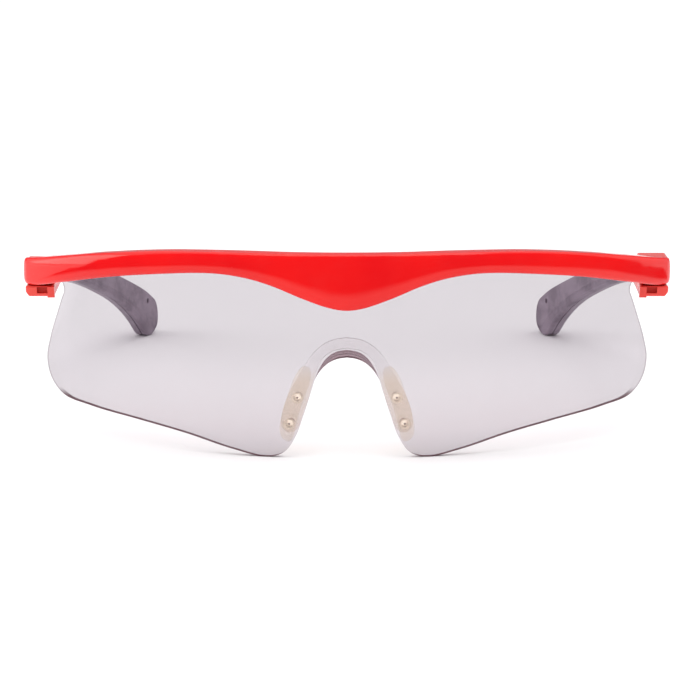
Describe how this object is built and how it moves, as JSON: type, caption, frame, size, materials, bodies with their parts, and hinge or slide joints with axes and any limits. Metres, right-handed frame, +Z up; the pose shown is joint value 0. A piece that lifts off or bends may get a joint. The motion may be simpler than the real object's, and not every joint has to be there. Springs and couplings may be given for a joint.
{
  "type": "protective glasses",
  "caption": "Wrap-round protective glasses: a pale one-piece shield lens hung from a red brow bar, soft nose piece, and grey temples that fold and tilt.",
  "frame": {"origin": "middle of the bounding box, on the surface that the lens lobes and temple tips stand on", "axes": "+X to the right seen from the front, +Y back along the temples, -Y the way the wearer looks, +Z up"},
  "size_m": [0.146, 0.1512, 0.0445],
  "materials": {
    "bar": "injection-moulded gloss red",
    "lens": "clear polycarbonate with a pale lavender-grey tint",
    "silicone": "clear soft silicone",
    "nose_pad": "translucent cream silicone",
    "steel": "machined steel",
    "brass": "machined brass",
    "temple_shell": "satin grey plastic",
    "temple_rubber": "soft-touch dark grey rubber"
  },
  "bodies": {
    "front": {"brow_bar": "bar", "lens": "lens", "nose_bridge": "silicone", "nose_pad_left": "nose_pad", "nose_pad_right": "nose_pad"},
    "hinge_left": {"hinge_link_left": "bar", "hinge_screw_left": "steel", "hinge_nut_left": "brass", "tilt_pin_left": "steel"},
    "temple_left": {"temple_arm_left": "temple_shell", "temple_pad_left": "temple_rubber"},
    "hinge_right": {"hinge_link_right": "bar", "hinge_screw_right": "steel", "hinge_nut_right": "brass", "tilt_pin_right": "steel"},
    "temple_right": {"temple_arm_right": "temple_shell", "temple_pad_right": "temple_rubber"}
  },
  "joints": [
    {"name": "temple_fold_left", "type": "hinge", "parent": "front", "child": "hinge_left", "pos_m": [-0.0692, -0.03684, 0.0345], "axis": [0, 0, -1], "range_deg": [0, 90]},
    {"name": "temple_tilt_left", "type": "hinge", "parent": "hinge_left", "child": "temple_left", "pos_m": [-0.0692, -0.02684, 0.0332], "axis": [1, 0, 0], "range_deg": [-6, 6]},
    {"name": "temple_fold_right", "type": "hinge", "parent": "front", "child": "hinge_right", "pos_m": [0.0692, -0.03684, 0.0345], "axis": [0, 0, 1], "range_deg": [0, 80]},
    {"name": "temple_tilt_right", "type": "hinge", "parent": "hinge_right", "child": "temple_right", "pos_m": [0.0692, -0.02684, 0.0332], "axis": [1, 0, 0], "range_deg": [-6, 6]}
  ]
}
